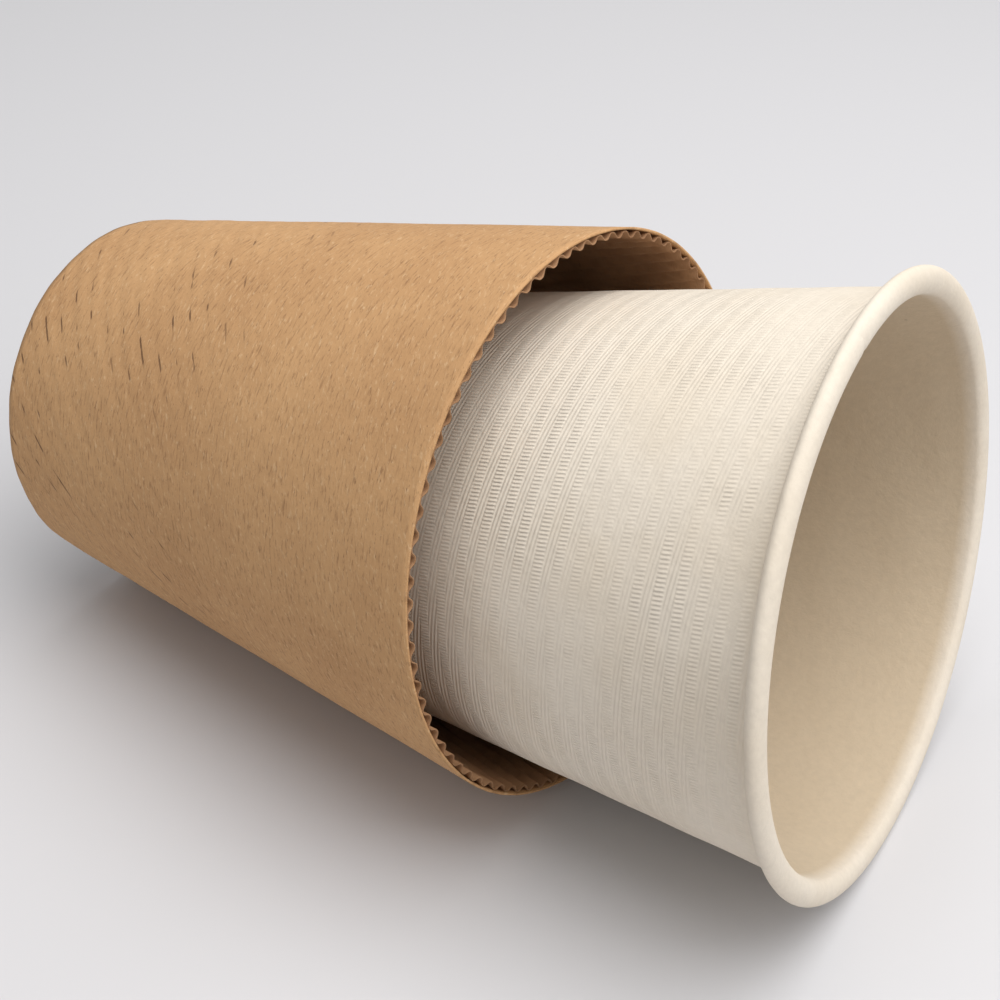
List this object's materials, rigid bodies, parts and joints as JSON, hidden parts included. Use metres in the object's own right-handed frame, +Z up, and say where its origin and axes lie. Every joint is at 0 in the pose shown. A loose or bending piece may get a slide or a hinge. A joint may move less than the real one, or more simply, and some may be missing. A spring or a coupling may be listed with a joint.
{
  "type": "paper coffee cup",
  "caption": "Tapered moulded-fibre coffee cup lying on its side, with a corrugated card sleeve drawn most of the way down it.",
  "frame": {"origin": "middle of the footprint, on the surface that the cup and the sleeve lie on", "axes": "+Z up from the surface, +X along the cup towards its mouth"},
  "size_m": [0.1496, 0.0904, 0.0892],
  "materials": {
    "moulded_fibre": "matt moulded fibre",
    "kraft_liner": "matt kraft",
    "kraft_flutes": "matt kraft"
  },
  "bodies": {
    "root": {"cup": "moulded_fibre", "sleeve_liner": "kraft_liner", "sleeve_flutes": "kraft_flutes"}
  },
  "joints": []
}
